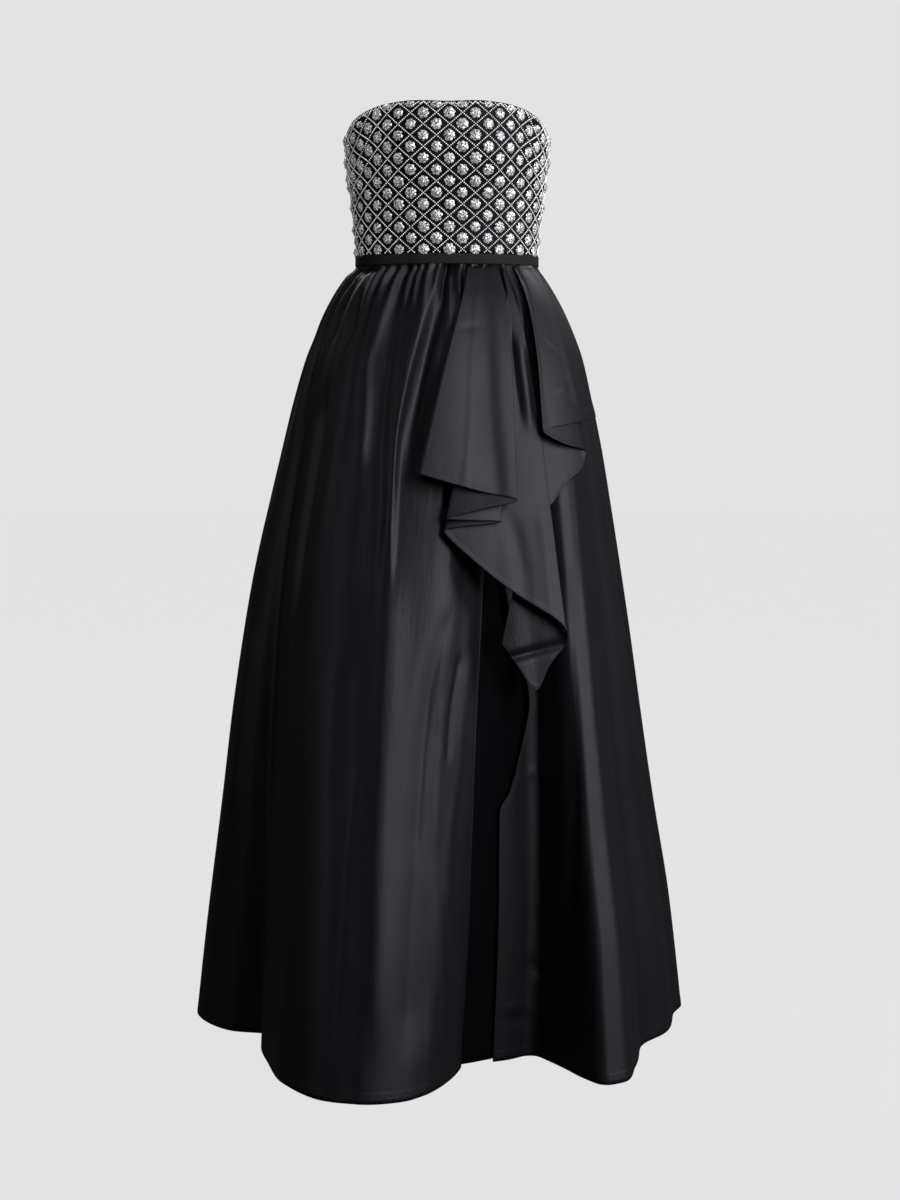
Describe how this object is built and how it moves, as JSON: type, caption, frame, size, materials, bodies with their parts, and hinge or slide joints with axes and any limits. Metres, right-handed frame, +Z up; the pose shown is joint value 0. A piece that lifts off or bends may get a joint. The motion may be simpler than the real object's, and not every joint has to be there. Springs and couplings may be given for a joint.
{
  "type": "strapless evening gown",
  "caption": "Floor-length strapless gown with a beaded lattice bodice, a ribbon waistband, a full gathered satin skirt with a front slit over an underlay, and a cascading waterfall ruffle.",
  "frame": {"origin": "middle of the waist opening, at half the waistband's height", "axes": "-Y is the front, +X the wearer's left, +Z up"},
  "size_m": [0.7182, 0.6735, 1.3032],
  "materials": {
    "beaded_cloth": "black satin with a lattice of small silver beads and sequin rosettes",
    "ribbon": "matt ribbed ribbon",
    "satin": "heavy black satin with a soft sheen",
    "lining": "plain black lining cloth",
    "zip_metal": "black plated metal"
  },
  "bodies": {
    "gown": {"bodice_front": "beaded_cloth", "bodice_back_right": "beaded_cloth", "bodice_back_left": "beaded_cloth", "waistband": "ribbon", "skirt_back_right": "satin", "skirt_front_right": "satin", "skirt_front_left": "satin", "skirt_back_left": "satin", "slit_underlay": "lining", "ruffle_front": "satin", "ruffle_side": "satin", "zip_tape": "lining", "zip_slider": "zip_metal"},
    "pull": {"zip_pull": "zip_metal"}
  },
  "joints": [
    {"name": "zip_pull_hinge", "type": "hinge", "parent": "gown", "child": "pull", "pos_m": [0, 0.09732, 0.128], "axis": [1, 0, 0], "range_deg": [0, 150]}
  ]
}
